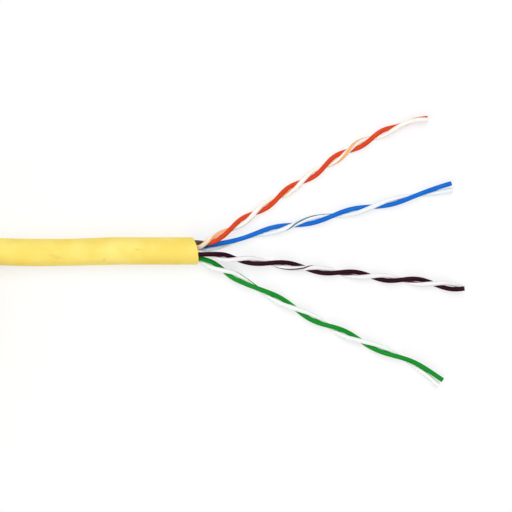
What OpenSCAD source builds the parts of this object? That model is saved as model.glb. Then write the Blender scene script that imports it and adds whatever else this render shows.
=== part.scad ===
// Four-pair twisted network cable: a coiled length with one end stripped and its pairs fanned out.
// Origin: centre of the jacket's cut mouth. +X points out along the pairs, +Z is up.
// The cable lies on a flat surface at z = -jacket_d / 2.

/* [Jacket] */
// Outside diameter of the jacket
jacket_d = 5.4; // [5.1:0.1:6.6]
// Wall of the jacket
jacket_wall = 0.38; // [0.3:0.01:0.38]
// Length of the hollow end, from the mouth back to where the cable is drawn solid
open_length = 12.5; // [10:0.5:13]
// Tilt of the cut, top lip forward, in degrees
cut_lean = 14; // [0:1:20]
// Tilt of the cut seen from above, in degrees
cut_skew = 10; // [-15:1:15]

/* [Wires] */
// Outside diameter of one insulated wire
insulation_d = 0.92; // [0.7:0.01:0.92]
// Diameter of the copper conductor
conductor_d = 0.51; // [0.4:0.01:0.6]
// Clearance between copper and insulation, all round
conductor_gap = 0.01; // [0.005:0.005:0.03]
// Turn of the four pairs about the axis inside the jacket, in degrees
nest_turn = 16; // [10:1:45]
// How far the two wires of a pair spread sideways at their tips
tip_flare = 0.2; // [0:0.05:0.3]

/* [Coil] */
// Diameter of the coil at the middle of its turns
coil_mean_d = 54; // [50:1:66]
// Turns side by side in one layer
coil_columns = 3; // [2:1:3]
// Layers of turns
coil_layers = 3; // [2:1:4]
// Spacing of neighbouring turns, centre to centre
turn_pitch = 5.6; // [5.4:0.1:6.6]

/* [Tie] */
// Width of the strap
tie_width = 10; // [6:0.5:14]
// Thickness of the strap
tie_thickness = 1; // [0.6:0.1:1.5]
// Clearance between the strap and the turns, all round
tie_gap = 0.1; // [0.05:0.05:0.3]
// How far the strap draws the turns in, all round
tie_squeeze = 0.15; // [0:0.05:0.4]
// Length of the overlapping end of the strap
tie_overlap = 9; // [5:1:12]
// Place of the tie round the coil, in degrees
tie_angle = 205; // [150:5:300]

/* [Hidden] */
$fn = 64;

// Wires in the order of the pairs: the coloured wire, then its white mate.
WIRES = ["orange", "white_orange", "blue", "white_blue",
         "brown", "white_brown", "green", "white_green"];
COLOURS = ["orangered", "antiquewhite", "dodgerblue", "azure",
           "saddlebrown", "whitesmoke", "green", "honeydew"];

jacket_r = jacket_d / 2;
bore_d = jacket_d - 2 * jacket_wall;
floor_z = -jacket_r;
rings_per_half_turn = 4;
// Sides of a swept tube: a wire's, and the whole cable's.
wire_sides = 8;
cable_sides = 12;
// The wires of a pair clear each other even at the middle of a chord between two rings.
pair_r = insulation_d / 2 / cos(180 / rings_per_half_turn / 2);
// Half the spacing of the four pairs inside the jacket.
nest = pair_r + insulation_d / 2 + 0.01;
// Where the turned square of pairs puts its corners, off the axis.
far = nest * sqrt(2) * cos(nest_turn);
near = nest * sqrt(2) * sin(nest_turn);
// Height of a pair's axis where it lies on the surface.
laid = floor_z + pair_r + insulation_d / 2 + 0.05;
rear = -open_length;
// The wires stop just short of the solid cable behind them.
wire_rear = rear + 0.1;

// Each pair's route: [x, y, z, half turns]. At a whole even number of half turns the coloured
// wire passes under its mate, and at an odd number it passes over it.
orange_route = [
    [wire_rear, far, near, -2.53], [-6.5, far, near, -1.49], [-2.4, far, near, -0.9],
    [-0.6, 1.18, near, -0.62], [0.9, 1.12, 0.72, -0.2], [3.1, 2.2, 0.6, 0.4], [6.7, 4.3, -0.3, 1],
    [11.3, 7.5, -1.2, 2], [16.0, 10.6, laid, 3], [20.7, 13.7, laid, 4], [25.2, 16.8, laid, 5],
    [29.8, 19.9, laid, 6], [34.8, 22.5, laid, 7.05], [38.0, 23.9, laid, 7.7],
    [40.2, 24.8, laid, 8.05], [42.9, 26.0, laid, 7.97], [45.6, 26.1, laid, 7.9]];
blue_route = [
    [wire_rear, near, -far, 0.05], [-6.5, near, -far, 0.75], [-1.2, near - 0.03, -far, 1.32],
    [1.6, 0.55, -far, 1.32], [3.6, 0.95, -1.3, 1.25], [6.8, 1.8, -1.5, 1.05],
    [10.6, 3.1, laid, 0.88], [18.8, 5.1, laid, 2], [26.8, 7.0, laid, 3],
    [34.7, 8.65, laid, 4], [42.6, 10.9, laid, 5], [50.4, 12.7, laid, 5.5]];
brown_route = [
    [wire_rear, -near, far, -2.85], [-6.5, -near, far, -2], [-1.2, -near - 0.04, far - 0.03, -1.28],
    [1.0, -0.56, far - 0.1, -1.08], [3.2, -0.8, 1.05, -0.88], [5.2, -1.25, 0.7, -0.55],
    [7.4, -1.6, 0.3, -0.02], [14.4, -2.3, -1.0, 1], [21.4, -3.4, -1.6, 2], [28.0, -4.3, laid, 3],
    [34.4, -5.0, laid, 4], [40.4, -5.7, laid, 5], [46.7, -6.4, laid, 6],
    [52.8, -7.4, laid, 7]];
green_route = [
    [wire_rear, -far, -near, -2.17], [-6.5, -far, -near, -1.6], [-2.4, -far, -near, -1.15],
    [-0.8, -1.38, -near, -1.03], [0.9, -1.7, -0.5, -0.85], [2.8, -2.75, -0.95, -0.48],
    [5.3, -3.85, -1.3, 0], [8.4, -5.5, -1.6, 0.72], [12.4, -7.7, laid, 1],
    [19.6, -11.5, laid, 2], [25.8, -14.8, laid, 3], [32.1, -17.8, laid, 4],
    [40.0, -20.8, laid, 5], [44.1, -22.9, laid, 5.3], [48.1, -26.1, laid, 5.5]];
ROUTES = [orange_route, blue_route, brown_route, green_route];

// The coil stands beside the run, and its outermost bottom turn takes the run in.
coil_centre = [-78.5, -16.5];
coil_width = (coil_columns - 1) * turn_pitch + jacket_d;
coil_height = (coil_layers - 1) * turn_pitch + jacket_d;
// The cable from the back of the hollow end into the coil, at the height at which it lies.
run_route = [
    [rear, 0], [-17, 0], [-22, -0.2], [-27, -0.3], [-33, -0.3], [-39, -0.2],
    [-44, 0.4], [-48, 1.6], [-52, 3.8]];

// ---- Vectors, splines and swept tubes -------------------------------------------------------

function unit(v) = v / norm(v);
function place(p) = [p[0], p[1], p[2]];
// A point past either end of a list continues its last step.
function at(p, i) =
    i < 0 ? 2 * p[0] - p[1]
    : i > len(p) - 1 ? 2 * p[len(p) - 1] - p[len(p) - 2]
    : p[i];
// Uniform cubic B-spline through a list of points, u counted in points.
function spline(p, u) =
    let (i = min(floor(u), len(p) - 2), t = u - i)
    (pow(1 - t, 3) * at(p, i - 1)
     + (3 * pow(t, 3) - 6 * t * t + 4) * at(p, i)
     + (3 * (t * t + t - pow(t, 3)) + 1) * at(p, i + 1)
     + pow(t, 3) * at(p, i + 2)) / 6;
// Unit vector to the left of a direction, level with the surface.
function left_of(t) = unit(cross([0, 0, 1], t));
function heading(p, u) = unit(place(spline(p, u + 0.01) - spline(p, u - 0.01)));

// Centreline of one wire of a pair: a helix about the pair's route.
function wire_path(route, mate) =
    let (last = len(route) - 1)
    [for (k = [0 : last * rings_per_half_turn])
        let (u = k / rings_per_half_turn,
             p = spline(route, min(u, last)),
             t = heading(route, min(u, last - 0.011)),
             turn = -90 - 180 * p[3] + 180 * mate,
             flare = tip_flare * pow(max(0, u - last + 1), 2),
             side = left_of(t))
        place(p) + (pair_r + flare) * cos(turn) * side + pair_r * sin(turn) * cross(t, side)];

function tangent(path, k) = unit(path[min(k + 1, len(path) - 1)] - path[max(k - 1, 0)]);

// The corners of one ring of a tube, round a point of its path.
function ring(path, k, d, sides) =
    let (t = tangent(path, k), side = left_of(t), up = cross(t, side))
    [for (s = [0 : sides - 1])
        let (a = 360 * (s + 0.5) / sides)
        path[k] + d / 2 * (cos(a) * side + sin(a) * up)];

// Triangles of the band between two rings, whose corners count up from a and from b.
function band(a, b, sides) =
    [for (s = [0 : sides - 1])
        let (next = (s + 1) % sides)
        each [[a + s, a + next, b + next], [a + s, b + next, b + s]]];

// A closed tube along a path, solid throughout.
module sweep(path, d, sides) {
    last = len(path) - 1;
    points = [for (k = [0 : last]) each ring(path, k, d, sides)];
    walls = [for (k = [0 : last - 1]) each band(k * sides, (k + 1) * sides, sides)];
    start = [for (s = [sides - 1 : -1 : 0]) s];
    end = [for (s = [0 : sides - 1]) last * sides + s];
    polyhedron(points, concat(walls, [start, end]), convexity = 6);
}

// The same with a bore right through it.
module sweep_bored(path, d, bore, sides) {
    last = len(path) - 1;
    inner = (last + 1) * sides;
    points = concat([for (k = [0 : last]) each ring(path, k, d, sides)],
                    [for (k = [0 : last]) each ring(path, k, bore, sides)]);
    walls = [for (k = [0 : last - 1])
        each concat(band(k * sides, (k + 1) * sides, sides),
                    band(inner + (k + 1) * sides, inner + k * sides, sides))];
    ends = concat(band(inner, 0, sides), band(last * sides, inner + last * sides, sides));
    polyhedron(points, concat(walls, ends), convexity = 8);
}

// ---- Jacket -------------------------------------------------------------------------------

module jacket() {
    color("khaki")
    difference() {
        translate([rear, 0, 0])
            rotate([0, 90, 0])
            cylinder(h = open_length + jacket_d, d = jacket_d);
        translate([rear - 1, 0, 0])
            rotate([0, 90, 0])
            cylinder(h = open_length + jacket_d + 2, d = bore_d);
        // The slanting cut across the mouth.
        translate([-0.45, 0, 0])
            rotate([0, cut_lean, cut_skew])
            translate([0, -2 * jacket_d, -2 * jacket_d])
            cube(4 * jacket_d);
    }
}

// The cable between the hollow end and the coil, drawn solid: jacket and pairs together.
module cable_run() {
    last = len(run_route) - 1;
    color("khaki")
    sweep([for (k = [0 : last])
        let (p = k == 0 ? run_route[0] : k == last ? run_route[last] : spline(run_route, k))
        [p[0], p[1], 0]], jacket_d, cable_sides);
}

// ---- Coil and its tie ---------------------------------------------------------------------

// A rectangle with its lower corner at (x, z) and round corners of radius r.
module rounded(x, z, w, h, r) {
    translate([x + r, z])
        square([w - 2 * r, h]);
    translate([x, z + r])
        square([w, h - 2 * r]);
    for (cx = [x + r, x + w - r]) for (cz = [z + r, z + h - r])
        translate([cx, cz])
        circle(r);
}

// The section of the bundle of turns, taken in by a margin all round and raised.
module bundle(margin, lift) {
    rounded((coil_mean_d - coil_width) / 2 + margin, floor_z + margin + lift,
            coil_width - 2 * margin, coil_height - 2 * margin, jacket_r - margin);
}

// The section that the strap goes round: the strap passes under the turns, which rise over it.
module held(margin) {
    bundle(tie_squeeze + margin, tie_thickness - tie_squeeze);
}

// Holds a section upright where the tie goes round the bundle.
module at_tie(width) {
    translate([coil_centre[0], coil_centre[1], 0])
        rotate([90, 0, tie_angle])
        linear_extrude(width, center = true)
        children();
}

// The outer shape of all the turns, with a waist where the tie draws them in.
module cable_coil() {
    color("khaki")
    difference() {
        translate([coil_centre[0], coil_centre[1], 0])
            rotate_extrude()
            bundle(0, 0);
        at_tie(tie_width + 2 * tie_gap)
        difference() {
            translate([coil_mean_d / 2 - coil_width, floor_z - coil_height / 2])
                square([2 * coil_width, 2 * coil_height]);
            held(tie_gap);
        }
    }
}

// A strap round the bundle, with its free end lying on top.
module coil_tie() {
    color("dimgray")
    union() {
        at_tie(tie_width)
        difference() {
            held(-tie_thickness);
            held(0);
        }
        at_tie(tie_width)
            translate([(coil_mean_d - tie_overlap) / 2,
                       floor_z + 2 * tie_thickness + coil_height - 2 * tie_squeeze])
            square([tie_overlap, tie_thickness]);
    }
}

// ---- Wires --------------------------------------------------------------------------------

// Wires come in pairs: an even number is the coloured wire, an odd one its white mate.
function path_of(wire) = wire_path(ROUTES[floor(wire / 2)], wire % 2);

module insulation(wire) {
    color(COLOURS[wire])
    sweep_bored(path_of(wire), insulation_d, conductor_d + 2 * conductor_gap, wire_sides);
}

module conductor(wire) {
    color("peru")
    sweep(path_of(wire), conductor_d, wire_sides);
}

jacket();
cable_run();
cable_coil();
coil_tie();
for (w = [0 : len(WIRES) - 1]) {
    insulation(w);
    conductor(w);
}
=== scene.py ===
"""A coiled length of four-pair network cable, one end stripped and its pairs fanned out flat."""

import math

import bmesh
import bpy
import numpy as np
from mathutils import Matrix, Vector


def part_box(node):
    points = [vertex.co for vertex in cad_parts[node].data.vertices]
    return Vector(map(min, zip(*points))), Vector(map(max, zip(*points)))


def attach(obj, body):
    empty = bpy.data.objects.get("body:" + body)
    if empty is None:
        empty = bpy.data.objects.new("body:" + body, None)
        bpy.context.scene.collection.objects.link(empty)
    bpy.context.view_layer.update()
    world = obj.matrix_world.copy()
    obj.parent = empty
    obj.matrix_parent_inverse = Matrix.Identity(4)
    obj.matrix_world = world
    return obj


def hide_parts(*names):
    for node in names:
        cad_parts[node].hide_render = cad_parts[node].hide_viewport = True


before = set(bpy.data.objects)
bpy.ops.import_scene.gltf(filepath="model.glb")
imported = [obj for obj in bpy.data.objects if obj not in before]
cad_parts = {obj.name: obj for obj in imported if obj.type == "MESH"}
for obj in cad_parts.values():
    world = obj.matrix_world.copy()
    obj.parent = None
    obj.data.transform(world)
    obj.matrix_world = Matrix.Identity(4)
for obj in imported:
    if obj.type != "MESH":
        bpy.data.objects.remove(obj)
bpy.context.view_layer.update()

MM = 0.001

# ---- Sizes, in millimetres unless a name says otherwise -------------------------------------

jacket_low, jacket_high = (np.array(corner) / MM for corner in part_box("jacket"))
coil_low, coil_high = (np.array(corner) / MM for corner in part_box("cable_coil"))
JACKET_R = (jacket_high[2] - jacket_low[2]) / 2
JACKET_WALL = 0.38
BORE_R = JACKET_R - JACKET_WALL
FLOOR_Z = jacket_low[2]
REAR = jacket_low[0]
INSULATION_R = 0.46
CONDUCTOR_R = 0.255
CONDUCTOR_GAP = 0.01
# How far each wire of a pair stands off at its tip.
TIP_FLARE = 0.2
# The wires of a pair turn about its line at this radius, so that the straight stretches
# between the CAD wires' rings don't cut into each other.
CAD_RINGS_PER_HALF_TURN = 4
PAIR_R = INSULATION_R / math.cos(math.pi / CAD_RINGS_PER_HALF_TURN / 2)
# Inside the jacket the four pairs' lines stand in a square, turned a little about the X axis.
NEST_GAP = 0.01
NEST = (PAIR_R + INSULATION_R + NEST_GAP) * math.sqrt(2)
NEST_TURN = math.radians(16)
FAR, NEAR = NEST * math.cos(NEST_TURN), NEST * math.sin(NEST_TURN)
# The height of a pair's line where it lies on the floor.
LAID_GAP = 0.05
LAID = FLOOR_Z + PAIR_R + INSULATION_R + LAID_GAP
WIRE_REAR_GAP = 0.1
WIRE_REAR = REAR + WIRE_REAR_GAP

TURN_PITCH = 5.6
COIL_CENTRE = (coil_low[:2] + coil_high[:2]) / 2
COIL_MEAN_R = (coil_high[0] - coil_low[0]) / 2 - TURN_PITCH - JACKET_R
TIE_ANGLE = 205.0
TIE_WIDTH = 10.0
TIE_THICKNESS = 1.0
TIE_SQUEEZE = 0.15
TIE_OVERLAP = 9.0

# ---- Camera ---------------------------------------------------------------------------------

# How wide a strip of the cable's plane the picture takes in, and its middle on that plane.
VIEW_WIDTH = 100.9
VIEW_CENTRE = (11.6, -1.0)
LENS = 150.0
SENSOR = 36.0


def make_camera():
    """Looks straight down on the pairs from far enough away for almost no perspective."""
    data = bpy.data.cameras.new("camera")
    data.lens = LENS
    data.sensor_width = SENSOR
    data.clip_start = 0.01
    data.clip_end = 20.0
    camera = bpy.data.objects.new("camera", data)
    camera.location = (
        VIEW_CENTRE[0] * MM,
        VIEW_CENTRE[1] * MM,
        VIEW_WIDTH * LENS / SENSOR * MM,
    )
    bpy.context.collection.objects.link(camera)
    bpy.context.scene.camera = camera


make_camera()

# ---- Routes ---------------------------------------------------------------------------------

# Each pair's line, as [x, y, z, half turns]. At an even number of half turns the coloured wire
# lies under its white mate, and at an odd one over it.
PAIR_ROUTES = {
    "orange": [
        [WIRE_REAR, FAR, NEAR, -2.53], [-6.5, FAR, NEAR, -1.49], [-2.4, FAR, NEAR, -0.9],
        [-0.6, 1.18, NEAR, -0.62], [0.9, 1.12, 0.72, -0.2], [3.1, 2.2, 0.6, 0.4],
        [6.7, 4.3, -0.3, 1], [11.3, 7.5, -1.2, 2], [16.0, 10.6, LAID, 3],
        [20.7, 13.7, LAID, 4], [25.2, 16.8, LAID, 5], [29.8, 19.9, LAID, 6],
        [34.8, 22.5, LAID, 7.05], [38.0, 23.9, LAID, 7.7], [40.2, 24.8, LAID, 8.05],
        [42.9, 26.0, LAID, 7.97], [45.6, 26.1, LAID, 7.9],
    ],
    "blue": [
        [WIRE_REAR, NEAR, -FAR, 0.05], [-6.5, NEAR, -FAR, 0.75],
        [-1.2, NEAR - 0.03, -FAR, 1.32], [1.6, 0.55, -FAR, 1.32], [3.6, 0.95, -1.3, 1.25],
        [6.8, 1.8, -1.5, 1.05], [10.6, 3.1, LAID, 0.88], [18.8, 5.1, LAID, 2],
        [26.8, 7.0, LAID, 3], [34.7, 8.65, LAID, 4], [42.6, 10.9, LAID, 5],
        [50.4, 12.7, LAID, 5.5],
    ],
    "brown": [
        [WIRE_REAR, -NEAR, FAR, -2.85], [-6.5, -NEAR, FAR, -2],
        [-1.2, -NEAR - 0.04, FAR - 0.03, -1.28], [1.0, -0.56, FAR - 0.1, -1.08],
        [3.2, -0.8, 1.05, -0.88], [5.2, -1.25, 0.7, -0.55], [7.4, -1.6, 0.3, -0.02],
        [14.4, -2.3, -1.0, 1], [21.4, -3.4, -1.6, 2], [28.0, -4.3, LAID, 3],
        [34.4, -5.0, LAID, 4], [40.4, -5.7, LAID, 5], [46.7, -6.4, LAID, 6],
        [52.8, -7.4, LAID, 7],
    ],
    "green": [
        [WIRE_REAR, -FAR, -NEAR, -2.17], [-6.5, -FAR, -NEAR, -1.6], [-2.4, -FAR, -NEAR, -1.15],
        [-0.8, -1.38, -NEAR, -1.03], [0.9, -1.7, -0.5, -0.85], [2.8, -2.75, -0.95, -0.48],
        [5.3, -3.85, -1.3, 0], [8.4, -5.5, -1.6, 0.72], [12.4, -7.7, LAID, 1],
        [19.6, -11.5, LAID, 2], [25.8, -14.8, LAID, 3], [32.1, -17.8, LAID, 4],
        [40.0, -20.8, LAID, 5], [44.1, -22.9, LAID, 5.3], [48.1, -26.1, LAID, 5.5],
    ],
}
# The cable from behind its opened end into the coil, as [x, y].
RUN_ROUTE = [
    [REAR, 0], [-17, 0], [-22, -0.2], [-27, -0.3], [-33, -0.3], [-39, -0.2],
    [-44, 0.4], [-48, 1.6], [-52, 3.8],
]
# The coil winds on from here, counter-clockwise seen from above, for this many turns.
COIL_START_ANGLE = 47.0
COIL_TURNS = 8.0
# Columns are counted inwards from the middle one. The coil starts at the bottom of the outermost.
START_COLUMN = -1.0
# Where a turn moves over by one pitch: [turn at which it starts, columns inwards, layers up].
# Each takes CROSSOVER_TURNS of a turn.
CROSSOVERS = [
    [0.8, 1, 0], [1.8, 1, 0], [2.6, 0, 1], [3.4, -1, 0], [4.4, -1, 0],
    [5.2, 0, 1], [6.0, 1, 0], [7.0, 1, 0],
]
CROSSOVER_TURNS = 0.2
# The turns rise to let the tie's strap under them: fully this many degrees from the tie's
# middle, and fading out over so many more.
TIE_RISE_DEGREES = 12
TIE_FADE_DEGREES = 35
COIL_POINTS_PER_TURN = 36

# How far apart the cable's straight points stand in its opened end, and how many samples a
# route gets from each point to the next.
OPENED_STEP = 4.0
WIRE_SAMPLES = 14
CABLE_SAMPLES = 5


def spline(points, samples):
    """Points along the uniform cubic B-spline of a list of points, that many for each step.

    Also gives how far along each is, counted in points of the list. The list is carried on
    straight by a point at either end, so that the spline starts and ends on the end points.
    """
    points = np.array(points, float)
    padded = np.vstack([2 * points[0] - points[1], points, 2 * points[-1] - points[-2]])
    last = len(points) - 1
    u = np.linspace(0, last, last * samples + 1)
    i = np.minimum(np.floor(u).astype(int), last - 1)
    t = (u - i)[:, None]
    weights = [
        (1 - t) ** 3,
        3 * t**3 - 6 * t**2 + 4,
        3 * (t + t**2 - t**3) + 1,
        t**3,
    ]
    return u, sum(w * padded[i + k] for k, w in enumerate(weights)) / 6


def unit(vectors):
    """The vectors brought to length 1."""
    return vectors / np.linalg.norm(vectors, axis=-1, keepdims=True)


def directions(line):
    """At each point of a line: the way along it, the level way to its left, and the way up."""
    along = unit(np.gradient(line, axis=0))
    left = unit(np.cross([0.0, 0.0, 1.0], along))
    return along, left, np.cross(along, left)


def lengths(line):
    """The distance along a line to each of its points."""
    steps = np.linalg.norm(np.diff(line, axis=0), axis=1)
    return np.concatenate([[0.0], np.cumsum(steps)])


def smooth(x):
    """0 below 0, 1 above 1, and an S between."""
    x = np.clip(x, 0.0, 1.0)
    return x * x * (3 - 2 * x)


def wire_turn(half_turns, mate):
    """Where a wire lies round its pair's line, in radians from the line's left side upwards."""
    return np.radians(-90 - 180 * half_turns + 180 * mate)


def wire_line(route, mate):
    """The centreline of one wire of a pair, a helix about its route, and its turns round it.

    mate is 0 for the coloured wire and 1 for the white one. The two part a little at the tips.
    """
    u, p = spline(route, WIRE_SAMPLES)
    _, side, up = directions(p[:, :3])
    turn = wire_turn(p[:, 3:], mate)
    last_step = len(route) - 2
    flare = TIP_FLARE * np.clip(u - last_step, 0, 1)[:, None] ** 2
    line = p[:, :3] + (PAIR_R + flare) * np.cos(turn) * side + PAIR_R * np.sin(turn) * up
    return line, turn[:, 0] / (2 * math.pi)


def coil_points():
    """Points round the coil, turn by turn, rising over the tie's strap."""
    points = []
    for turn in np.arange(round(COIL_TURNS * COIL_POINTS_PER_TURN) + 1) / COIL_POINTS_PER_TURN:
        column, layer = START_COLUMN, 0.0
        for start, inwards, up in CROSSOVERS:
            share = float(smooth((turn - start) / CROSSOVER_TURNS))
            column += share * inwards
            layer += share * up
        angle = COIL_START_ANGLE + 360 * turn
        from_tie = abs((angle - TIE_ANGLE + 180) % 360 - 180)
        near_tie = 1 - float(smooth((from_tie - TIE_RISE_DEGREES) / TIE_FADE_DEGREES))
        pitch = TURN_PITCH - TIE_SQUEEZE * near_tie
        r = COIL_MEAN_R - column * pitch
        z = layer * pitch + TIE_THICKNESS * near_tie
        a = math.radians(angle)
        x, y = COIL_CENTRE + r * np.array([math.cos(a), math.sin(a)])
        points.append([x, y, z])
    return points


def cable_line():
    """The centreline of the whole cable, from the cut mouth to the far end."""
    opened = [[x, 0.0, 0.0] for x in np.arange(0, REAR, -OPENED_STEP)]
    run = [[x, y, 0.0] for x, y in RUN_ROUTE]
    return spline(opened + run + coil_points(), CABLE_SAMPLES)[1]


# ---- Meshes ---------------------------------------------------------------------------------

# Edges sharper than this, in degrees, aren't smoothed over.
SHARP_EDGE = 50


def ring(centre, left, up, radius, sides):
    """Points round a centre, from its left side upwards."""
    a = np.arange(sides) * 2 * math.pi / sides
    return centre + radius * (np.cos(a)[:, None] * left + np.sin(a)[:, None] * up)


def loft(name, rows, finish, along, turn=None, closed=False):
    """A mesh through rows of points in millimetres, all with as many points.

    closed joins the last row to the first; otherwise both ends get a flat face. Its texture
    map "run" goes once round each row, starting from that row's turn, and along in
    millimetres, which along gives for each row.
    """
    sides = len(rows[0])
    points = np.concatenate(rows) * MM
    count = len(rows)
    turn = np.zeros(count) if turn is None else turn
    faces, corners = [], []
    for k in range(count if closed else count - 1):
        after = (k + 1) % count
        for s in range(sides):
            t = (s + 1) % sides
            faces.append((k * sides + s, k * sides + t, after * sides + t, after * sides + s))
            corners += [
                (s / sides + turn[k], along[k]), ((s + 1) / sides + turn[k], along[k]),
                ((s + 1) / sides + turn[after], along[after]),
                (s / sides + turn[after], along[after]),
            ]
    if not closed:
        for k, order in ((0, -1), (count - 1, 1)):
            faces.append(tuple(range(k * sides, (k + 1) * sides))[::order])
            corners += [(0.5, along[k])] * sides
    mesh = bpy.data.meshes.new(name)
    mesh.from_pydata(points.tolist(), [], faces)
    layer = mesh.uv_layers.new(name="run")
    layer.uv.foreach_set("vector", np.array(corners, np.float32).ravel())
    mesh.materials.append(finish)
    work = bmesh.new()
    work.from_mesh(mesh)
    bmesh.ops.recalc_face_normals(work, faces=work.faces)
    work.to_mesh(mesh)
    work.free()
    mesh.polygons.foreach_set("use_smooth", [True] * len(mesh.polygons))
    mesh.set_sharp_from_angle(angle=math.radians(SHARP_EDGE))
    piece = bpy.data.objects.new(name, mesh)
    bpy.context.collection.objects.link(piece)
    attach(piece, "root")
    return piece


# ---- Finishes -------------------------------------------------------------------------------


def srgb(red, green, blue):
    """A colour written as it looks, from 0 to 255, as the shader wants it."""
    return tuple(
        c / 12.92 if c <= 0.04045 else ((c + 0.055) / 1.055) ** 2.4
        for c in (red / 255, green / 255, blue / 255)
    )


def in_metres(place):
    """A place given in millimetres."""
    return tuple(c * MM for c in place)


class Channel:
    """A shader socket that arithmetic in Python adds Math nodes to."""

    def __init__(self, finish, socket):
        self.finish = finish
        self.socket = socket

    def math(self, operation, *terms):
        values = dict(enumerate(terms))
        return self.finish.node("ShaderNodeMath", {"operation": operation}, values)

    def __add__(self, other):
        return self.math("ADD", self, other)

    def __radd__(self, other):
        return self.math("ADD", other, self)

    def __sub__(self, other):
        return self.math("SUBTRACT", self, other)

    def __rsub__(self, other):
        return self.math("SUBTRACT", other, self)

    def __mul__(self, other):
        return self.math("MULTIPLY", self, other)

    def __rmul__(self, other):
        return self.math("MULTIPLY", other, self)

    def __abs__(self):
        return self.math("ABSOLUTE", self)

    def fraction(self):
        return self.math("FRACT", self)

    def sine(self):
        return self.math("SINE", self)

    def greater(self, other):
        """The greater of the two."""
        return self.math("MAXIMUM", self, other)

    def ramp(self, low, high):
        """0 below low, 1 above high and smooth between; low may be the greater."""
        settings = {"interpolation_type": "SMOOTHSTEP"}
        values = {"Value": self, "From Min": min(low, high), "From Max": max(low, high)}
        if low > high:
            values.update({"To Min": 1.0, "To Max": 0.0})
        return self.finish.node("ShaderNodeMapRange", settings, values)


class Finish:
    """A node material on one Principled shader, with its fixed sockets' values by name."""

    def __init__(self, name, **fixed):
        self.material = bpy.data.materials.new(name)
        self.material.use_nodes = True
        self.tree = self.material.node_tree
        self.shader = self.tree.nodes["Principled BSDF"]
        for socket, value in fixed.items():
            self.set(socket.replace("_", " "), value)

    def set(self, socket, value):
        target = self.shader.inputs[socket]
        if isinstance(value, Channel):
            self.tree.links.new(value.socket, target)
        else:
            target.default_value = value

    def node(self, kind, settings=None, values=None, output=0):
        """A node of that type, its settings made first, then its sockets' values or links."""
        node = self.tree.nodes.new(kind)
        for name, setting in (settings or {}).items():
            setattr(node, name, setting)
        for key, value in (values or {}).items():
            if isinstance(value, Channel):
                self.tree.links.new(value.socket, node.inputs[key])
            else:
                node.inputs[key].default_value = value
        return Channel(self, node.outputs[output])

    def outputs(self, kind, *names, values=None):
        """Several outputs of one node of that type."""
        found = self.node(kind, values=values).socket.node.outputs
        return [Channel(self, found[name]) for name in names]

    def places(self):
        """Object coordinates, which are metres in the part's own frame."""
        return self.node("ShaderNodeTexCoord", output="Object")

    def run(self):
        """The texture map: once round from 0 to 1, and millimetres along."""
        return self.outputs("ShaderNodeSeparateXYZ", "X", "Y", values={0: self.map()})

    def map(self):
        return self.node("ShaderNodeUVMap", {"uv_map": "run"})

    def vector_math(self, operation, *terms, output=0):
        values = dict(enumerate(terms))
        return self.node("ShaderNodeVectorMath", {"operation": operation}, values, output)

    def stretched(self, vector, scale):
        return self.vector_math("MULTIPLY", vector, scale)

    def noise(self, vector, scale, detail=2.0, rough=0.5):
        values = {"Vector": vector, "Scale": scale, "Detail": detail, "Roughness": rough}
        return self.node("ShaderNodeTexNoise", values=values)

    def mix(self, share, first, second):
        """Colours mixed by a channel; each is a channel or a colour."""
        first, second = (
            c if isinstance(c, Channel) else (*c, 1.0) for c in (first, second)
        )
        return self.node(
            "ShaderNodeMix", {"data_type": "RGBA"}, {0: share, 6: first, 7: second}, output=2
        )

    def bump(self, height, distance):
        """height times distance in metres, raised from the surface."""
        values = {"Height": height, "Distance": distance, "Strength": 1.0}
        self.set("Normal", self.node("ShaderNodeBump", values=values))


# Scuffs on top of the opened end and the run: [centre, size, lean in radians].
SCUFFS = [
    [(-27.7, -1.2, 2.4), 0.9, 0.3],
    [(-17.9, -1.5, 2.2), 0.7, -0.9],
    [(-11.4, 0.2, 2.7), 0.6, 0.4],
]
# At size 1 a scuff reaches 1 m over each of these to either side of its centre.
SCUFF_STRETCH = (420, 1500, 300)


def scuff(f, p, centre, size, lean):
    """1 in the middle of an oval patch, and 0 beyond it."""
    away = f.vector_math("SUBTRACT", p, in_metres(centre))
    turned = f.node(
        "ShaderNodeVectorRotate", {"rotation_type": "Z_AXIS"}, {"Vector": away, "Angle": lean}
    )
    flat = f.stretched(turned, tuple(c / size for c in SCUFF_STRETCH))
    return f.vector_math("LENGTH", flat, output=1).ramp(1.0, 0.1)


def jacket_finish():
    """Matt PVC: soft mottling, a fine orange-peel grain and three faint scuffs."""
    f = Finish("jacket_pvc", IOR=1.5, Specular_IOR_Level=0.25)
    p = f.places()
    cloud = f.noise(p, 160.0, 3.0, 0.55)
    streak = f.noise(f.stretched(p, (45.0, 420.0, 420.0)), 1.0, 3.0, 0.6)
    grain = f.noise(p, 5200.0, 2.0, 0.6)
    body = f.mix(cloud.ramp(0.28, 0.78), srgb(250, 219, 98), srgb(254, 236, 130))
    body = f.mix(streak.ramp(0.56, 0.78) * 0.35, body, srgb(243, 208, 88))
    broken = f.noise(p, 1900.0, 3.0, 0.7).ramp(0.4, 0.62)
    dirt = sum(scuff(f, p, *patch) for patch in SCUFFS) * broken
    f.set("Base Color", f.mix(dirt * 0.27, body, srgb(176, 120, 40)))
    f.set("Roughness", 0.5 + 0.12 * grain + 0.08 * cloud)
    f.bump(grain * 0.4 + streak * 0.6 - dirt * 0.4, 0.00006)
    return f.material


# The fine lines along a drawn wire: how many of them round it, and how many in a millimetre.
DRAWN_LINES = (26.0, 0.22, 1.0)


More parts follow.
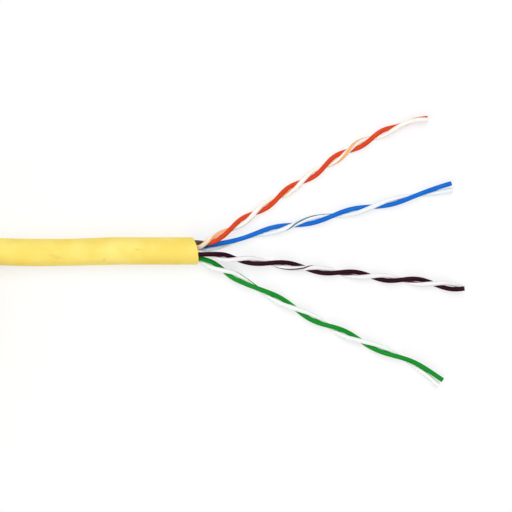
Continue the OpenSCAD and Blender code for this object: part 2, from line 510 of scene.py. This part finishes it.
def wire_finish(name, colour, deep, stripe=None, stripe_width=0.11, painted_shade=None, gloss=0.14):
    """Satin polyethylene drawn along the wire; a mate has a stripe of its pair's colour.

    stripe_width is a share of the way round, and the shade patch is [centre, reach, colour]:
    painted shade, a darker colour mixed in where the wire leaves the jacket's mouth.
    """
    f = Finish(f"insulation_{name}", IOR=1.5, Specular_IOR_Level=gloss)
    around, along = f.run()
    lines = f.noise(f.stretched(f.map(), DRAWN_LINES), 1.0, 3.0, 0.6)
    cloud = f.noise(f.map(), 0.35, 2.0)
    shade = f.mix(lines.ramp(0.35, 0.72), deep, colour)
    if stripe:
        wander = (along * 0.31).sine() * 0.012 + cloud * 0.04 - 0.02
        off = abs((around + wander).fraction() - 0.5) + lines * 0.02 - 0.01
        half = stripe_width / 2
        shade = f.mix(off.ramp(half * 1.25, half * 0.8), shade, stripe)
    # Painted shade: near a point at the jacket's mouth the colour turns to a darker one, standing
    # in for the shade that falls there.
    if painted_shade:
        centre, reach, tint = painted_shade
        away = f.vector_math("DISTANCE", f.places(), in_metres(centre), output=1)
        shaded_patch = away.ramp(reach * MM, 0.5 * reach * MM) * (0.75 + 0.5 * lines)
        shade = f.mix(shaded_patch, shade, tint)
    f.set("Base Color", shade)
    f.set("Roughness", 0.33 + 0.16 * lines + 0.05 * cloud)
    f.bump(lines + 0.5 * cloud, 0.000012)
    return f.material


def copper_finish():
    """Drawn copper, with the smear of a cut and patches of darker tarnish."""
    f = Finish("copper", Metallic=1.0)
    p = f.places()
    smear = f.noise(f.stretched(p, (1500.0, 9000.0, 5000.0)), 1.0, 3.0, 0.6)
    tarnish = f.noise(p, 2600.0, 2.0)
    bright = f.mix(smear.ramp(0.3, 0.7), srgb(186, 96, 62), srgb(226, 148, 104))
    f.set("Base Color", f.mix(tarnish.ramp(0.5, 0.72) * 0.6, bright, srgb(104, 50, 38)))
    f.set("Roughness", 0.24 + 0.3 * smear)
    f.bump(smear, 0.00002)
    return f.material


# The strap's weave: threads round it, and threads in a millimetre along it.
WARP_THREADS = 34
WEFT_THREADS = 1.25


def strap_finish():
    """Woven nylon with a brushed loop face: a plain weave under fuzz."""
    f = Finish("strap_weave", Sheen_Weight=0.35, Sheen_Roughness=0.4)
    across, along = f.run()
    warp = (across * 2 * math.pi * WARP_THREADS).sine()
    weft = (along * 2 * math.pi * WEFT_THREADS).sine()
    weave = 0.5 + 0.5 * warp * weft
    fuzz = f.noise(f.places(), 3800.0, 4.0, 0.7)
    yarn = f.mix(weave * 0.6 + fuzz * 0.4, srgb(24, 25, 27), srgb(70, 72, 76))
    f.set("Base Color", f.mix(fuzz.ramp(0.55, 0.75) * 0.5, yarn, srgb(96, 98, 102)))
    f.set("Roughness", 0.75 + 0.2 * fuzz)
    f.bump(weave * 0.7 + fuzz * 0.6, 0.00016)
    return f.material


FINISH = {
    "orange": wire_finish(
        "orange", srgb(236, 80, 30), srgb(214, 60, 20),
        # Painted shade: a dark grey-brown patch on the orange wire at the jacket's mouth.
        painted_shade=((-0.3, 1.7, 0.4), 2.4, srgb(84, 66, 66)),
    ),
    "white_orange": wire_finish(
        "white_orange", srgb(254, 251, 245), srgb(250, 245, 235), srgb(246, 184, 124), 0.24,
        # Painted shade: a darker cream patch on the white-orange wire near the jacket's mouth.
        painted_shade=((0.6, 0.7, 1.0), 3.2, srgb(250, 224, 188)),
    ),
    "blue": wire_finish("blue", srgb(0, 124, 222), srgb(0, 98, 204)),
    "white_blue": wire_finish(
        "white_blue", srgb(248, 251, 252), srgb(238, 244, 247), srgb(64, 124, 134)
    ),
    "brown": wire_finish("brown", srgb(56, 10, 34), srgb(38, 2, 20), gloss=0.08),
    "white_brown": wire_finish(
        "white_brown", srgb(252, 250, 250), srgb(243, 240, 240), srgb(92, 66, 74)
    ),
    "green": wire_finish("green", srgb(0, 156, 44), srgb(0, 134, 30)),
    "white_green": wire_finish(
        "white_green", srgb(251, 253, 251), srgb(241, 246, 242), srgb(36, 150, 90)
    ),
}
JACKET = jacket_finish()
COPPER = copper_finish()
STRAP = strap_finish()

# ---- The cable ------------------------------------------------------------------------------

# The slanted cut: how far along +X its middle lies, and how much further for each millimetre of
# +Y and of +Z. The slant dies out over CUT_FADE millimetres behind the mouth.
CUT_BACK = -0.45
CUT_Y = -0.1763
CUT_Z = 0.2531
CUT_FADE = 4.0
# The waver of the cut's edge: [how much, waves round the cable, shift in radians].
CUT_WAVER = [[0.035, 5, 1], [0.02, 13, 0]]
# The jacket swells and thins a little, from here on: [how much, radians per mm, shift].
SWELL_FROM = 3
SWELLS = [[0.022, 0.42, 1], [0.018, 0.171, 0]]
# The rounding of the jacket's edges, and how far its outside keeps its closely spaced rings.
ROUNDING = 0.12
CLOSE_RINGS = 60
JACKET_SIDES = 48
WIRE_SIDES = 20
CORE_SIDES = 14


def tube(line, profile, sides):
    """The rows of a tube on a line, through a profile of [distance along it, radius].

    Also gives the distance along the line to each row.
    """
    distance = lengths(line)
    at = np.array([d for d, _ in profile])
    centre = np.stack([np.interp(at, distance, line[:, k]) for k in range(3)], axis=1)
    _, left, up = directions(line)
    left = unit(np.stack([np.interp(at, distance, left[:, k]) for k in range(3)], axis=1))
    up = unit(np.stack([np.interp(at, distance, up[:, k]) for k in range(3)], axis=1))
    rows = [ring(c, l, u, r, sides) for c, l, u, (_, r) in zip(centre, left, up, profile)]
    return rows, at


def steps(first, last, size):
    """Even steps of about that size from first to last, which may be the lesser."""
    return np.linspace(first, last, max(2, round(abs(last - first) / size) + 1)).tolist()


def make_cable(line):
    """The whole jacket, solid but for the pocket at each end that the wires lie in."""
    total = lengths(line)[-1]
    pocket = -REAR
    mouth_lip = [
        [ROUNDING, BORE_R], [0.03, BORE_R + 0.05], [0.0, BORE_R + 0.13],
        [0.0, JACKET_R - 0.12], [0.03, JACKET_R - 0.04], [ROUNDING, JACKET_R],
    ]
    inner = [[d, BORE_R] for d in steps(pocket, 0.6, 0.8)]
    outer = [[d, JACKET_R] for d in steps(0.5, CLOSE_RINGS, 0.5)]
    outer += [[d, JACKET_R] for d in steps(CLOSE_RINGS + 1, total - 0.6, 1.2)]
    end_lip = [[total - d, r] for d, r in mouth_lip[::-1]]
    end_pocket = [[total - d, BORE_R] for d in steps(0.8, pocket, 2.0)]
    profile = inner + mouth_lip + outer + end_lip + end_pocket
    rows, at = tube(line, profile, JACKET_SIDES)
    for row, (d, radius) in zip(rows, profile):
        if d < CUT_FADE:
            angle = np.arctan2(row[:, 2], row[:, 1])
            cut = CUT_BACK + CUT_Y * row[:, 1] + CUT_Z * row[:, 2]
            waver = sum(much * np.sin(waves * angle + shift) for much, waves, shift in CUT_WAVER)
            row[:, 0] += (cut + waver) * (1 - smooth(d / CUT_FADE))
        if d > SWELL_FROM:
            swell = sum(much * math.sin(d * rate + shift) for much, rate, shift in SWELLS)
            row += (row - row.mean(axis=0)) * swell / radius
    return loft("cable", rows, JACKET, at)


cable_path = cable_line()
cable = make_cable(cable_path)
CABLE_LENGTH = lengths(cable_path)[-1]

# ---- The far end of the cable: eight short wires, cut off flush with it ----------------------

# How far in these wires start, and how far along they go in half a turn.
FAR_WIRE_LENGTH = 11.5
FAR_HALF_TURN = 8


def make_wire(name, line, finish, spin):
    """Insulation on a line, bored right through, its ends cut square.

    spin is where its stripe lies round it at each point of the line, in turns.
    """
    total = lengths(line)[-1]
    bore = CONDUCTOR_R + CONDUCTOR_GAP
    lip = [[0.05, bore], [0.0, bore + 0.03], [0.0, INSULATION_R - 0.05], [0.06, INSULATION_R]]
    inner = [[d, bore] for d in steps(total - 0.2, 0.2, 0.7)]
    outer = [[d, INSULATION_R] for d in steps(0.2, total - 0.2, 0.3)]
    profile = inner + lip + outer + [[total - d, r] for d, r in lip[::-1]]
    rows, at = tube(line, profile, WIRE_SIDES)
    turn = 0.5 - np.interp(at, lengths(line), spin)
    return loft(name, rows, finish, at, turn, closed=True)


def make_core(name, line):
    """The conductor, with a slight dome where the cutters met."""
    total = lengths(line)[-1]
    end = [[0.0, 0.12], [0.02, CONDUCTOR_R - 0.03], [0.06, CONDUCTOR_R]]
    profile = end + [[d, CONDUCTOR_R] for d in steps(0.3, total - 0.3, 0.6)]
    profile += [[total - d, r] for d, r in end[::-1]]
    rows, at = tube(line, profile, CORE_SIDES)
    return loft(name, rows, COPPER, at)


def far_wire_line(pair, mate):
    """The last stretch of a wire inside the cable's far end."""
    _, y, z, half_turns = PAIR_ROUTES[pair][0]
    stretch = cable_path[lengths(cable_path) > CABLE_LENGTH - FAR_WIRE_LENGTH]
    _, left, up = directions(stretch)
    distance = lengths(stretch)[:, None]
    turn = wire_turn(half_turns + distance / FAR_HALF_TURN, mate)
    side = y + PAIR_R * np.cos(turn)
    rise = z + PAIR_R * np.sin(turn)
    return stretch + side * left + rise * up


cable_pieces = []
for pair in PAIR_ROUTES:
    for mate, wire in enumerate((pair, f"white_{pair}")):
        far_line = far_wire_line(pair, mate)
        far_wire = make_wire(
            f"far_insulation_{wire}", far_line, FINISH[wire], np.zeros(len(far_line))
        )
        far_core = make_core(f"far_conductor_{wire}", far_line)
        cable_pieces += [far_wire, far_core]

# ---- The tie --------------------------------------------------------------------------------

# The end that laps over starts to climb this far before the lap, and climbs in this distance.
TIE_CLIMB_BEFORE = 4.5
TIE_CLIMB = 4.0
# The rounding of the strap's edges.
TIE_EDGE = 0.3
# The strap is a little thinner than its place, so that its laps don't touch all over.
TIE_SLACK = 0.03
STRAIGHT_STEPS = 14
BEND_STEPS = 12


def strap_section():
    """The strap cut across, as [sideways, outwards], with rounded edges."""
    half_width, half_thick = TIE_WIDTH / 2, TIE_THICKNESS / 2 - TIE_SLACK
    section = []
    for x, y, first in ((1, 1, 0), (-1, 1, 90), (-1, -1, 180), (1, -1, 270)):
        for turn in np.radians([first, first + 30, first + 60, first + 90]):
            section.append([
                x * (half_width - TIE_EDGE) + TIE_EDGE * math.cos(turn),
                y * (half_thick - TIE_EDGE) + TIE_EDGE * math.sin(turn),
            ])
    return section


def make_tie():
    """A hook-and-loop strap round all the turns, its end pressed down on its start."""
    squeezed = TURN_PITCH - TIE_SQUEEZE
    half = squeezed + JACKET_R
    low = FLOOR_Z + TIE_THICKNESS
    high = 2 * squeezed + TIE_THICKNESS + JACKET_R
    corner = JACKET_R
    # Once round the turns, from the middle of the top outwards, as [across, up, nx, nz].
    outline = []

    def side(start, end, normal):
        for share in np.linspace(0, 1, STRAIGHT_STEPS)[:-1]:
            outline.append([*(np.array(start) * (1 - share) + np.array(end) * share), *normal])

    def bend(centre, first):
        for a in np.radians(np.linspace(first, first - 90, BEND_STEPS))[:-1]:
            n = np.array([math.cos(a), math.sin(a)])
            outline.append([*(np.array(centre) + corner * n), *n])

    start = -TIE_OVERLAP / 2
    side((start, high), (half - corner, high), (0, 1))
    bend((half - corner, high - corner), 90)
    side((half, high - corner), (half, low + corner), (1, 0))
    bend((half - corner, low + corner), 0)
    side((half - corner, low), (corner - half, low), (0, -1))
    bend((corner - half, low + corner), -90)
    side((-half, low + corner), (-half, high - corner), (-1, 0))
    bend((corner - half, high - corner), -180)
    side((corner - half, high), (-start, high), (0, 1))
    outline = np.array(outline)
    run = lengths(outline[:, :2])
    climb_from = run[-1] - (TIE_OVERLAP + TIE_CLIMB_BEFORE)
    lift = TIE_THICKNESS * smooth((run - climb_from) / TIE_CLIMB)
    a = math.radians(TIE_ANGLE)
    out = np.array([math.cos(a), math.sin(a), 0.0])
    sideways = np.array([-math.sin(a), math.cos(a), 0.0])
    section = strap_section()
    rows = []
    for (across, up, nx, nz), raised in zip(outline, lift):
        n = unit(nx * out + np.array([0, 0, nz]))
        middle = np.array([*COIL_CENTRE, up]) + (COIL_MEAN_R + across) * out
        middle = middle + (TIE_THICKNESS / 2 + raised) * n
        rows.append(np.array([middle + w * sideways + t * n for w, t in section]))
    return loft("tie", rows, STRAP, run)


tie = make_tie()
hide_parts("coil_tie")
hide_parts("jacket", "cable_run", "cable_coil")
(cable_path * MM).tolist()

# ---- The eight wires ------------------------------------------------------------------------

# How far round each mate its stripe lies, in degrees from facing straight out of its pair, at
# places along X.
STRIPES = {
    "white_orange": [
        (-12.4, -73), (12.5, 182), (19, 190), (23, 250), (26.7, 328), (30, 362), (32, 382),
        (36, 450), (39, 530), (46, 526),
    ],
    "white_blue": [
        (0, 20), (10, 40), (14, 90), (16.5, 60), (19.3, 5), (21.5, 20), (24, 60), (27, 120),
        (30, 180), (46, 180), (50, 120),
    ],
    "white_brown": [
        (4, -180), (8, -150), (14, -70), (18, -50), (21, -15), (25, -80), (30, -150),
    ],
    "white_green": [(0, -333), (3, -270), (5.3, -130), (8.4, 45), (10, 80), (13, 180)],
}
for pair, route in PAIR_ROUTES.items():
    for mate, wire in enumerate((pair, f"white_{pair}")):
        line, place = wire_line(np.array(route, float), mate)
        xs, round_from_out = zip(*STRIPES.get(wire, [(0, 0)]))
        spin = place + np.interp(line[:, 0], xs, round_from_out) / 360
        insulation = make_wire(f"insulation_{wire}_skin", line, FINISH[wire], spin)
        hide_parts(f"insulation_{wire}")
        core = make_core(f"conductor_{wire}_core", line)
        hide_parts(f"conductor_{wire}")
        (line[0] * MM).tolist()
        (line * MM).tolist()

# ---- Floor, lights and background -----------------------------------------------------------

WHITE = (1.0, 1.0, 1.0, 1.0)
# In metres: half the floor's side, and how far it lies under the part.
FLOOR_HALF = 1.6
FLOOR_BELOW = 0.00002
# How much of the floor's white is its own glow, to the camera and in reflections.
FLOOR_GLOW = 0.65
# Square lamps: [place in metres, side in metres, watts].
LAMPS = {
    "key": [(0.2, 0.6, 1.4), 1.2, 15.4],
    "fill": [(-0.5, -0.8, 1.2), 1.2, 9.2],
}
WORLD_LIGHT = 0.3


def make_floor():
    """A matt white sheet that glows a little to the camera, so that its shadows stay soft."""
    work = bmesh.new()
    bmesh.ops.create_grid(work, x_segments=8, y_segments=8, size=FLOOR_HALF)
    mesh = bpy.data.meshes.new("floor")
    work.to_mesh(mesh)
    work.free()
    floor = bpy.data.objects.new("floor", mesh)
    floor.location = (0.0, 0.0, FLOOR_Z * MM - FLOOR_BELOW)
    bpy.context.collection.objects.link(floor)
    f = Finish("floor_paper", Roughness=0.9, Specular_IOR_Level=0.1)
    tooth = f.noise(f.places(), 900.0, 3.0)
    f.set("Base Color", f.mix(tooth, (0.95, 0.95, 0.95), (0.98, 0.98, 0.98)))
    glow = f.node("ShaderNodeEmission", values={"Color": WHITE, "Strength": 1.0})
    camera_ray, glossy_ray = f.outputs("ShaderNodeLightPath", "Is Camera Ray", "Is Glossy Ray")
    seen = camera_ray.greater(glossy_ray)
    paper = Channel(f, f.shader.outputs["BSDF"])
    both = f.node("ShaderNodeMixShader", values={0: seen * FLOOR_GLOW, 1: paper, 2: glow})
    f.tree.links.new(both.socket, f.tree.nodes["Material Output"].inputs["Surface"])
    mesh.materials.append(f.material)


def softbox(name, place, size, power):
    """A square lamp that faces the cable's cut mouth."""
    data = bpy.data.lights.new(name, "AREA")
    data.size = size
    data.energy = power
    lamp = bpy.data.objects.new(name, data)
    lamp.location = place
    lamp.rotation_euler = (-Vector(place)).to_track_quat("-Z", "Y").to_euler()
    bpy.context.collection.objects.link(lamp)


make_floor()
for lamp_name, lamp_settings in LAMPS.items():
    softbox(lamp_name, *lamp_settings)
world = bpy.data.worlds.new("studio")
bpy.context.scene.world = world
world.use_nodes = True
background = world.node_tree.nodes["Background"]
background.inputs["Color"].default_value = WHITE
background.inputs["Strength"].default_value = WORLD_LIGHT
bpy.context.scene.view_settings.view_transform = "Standard"
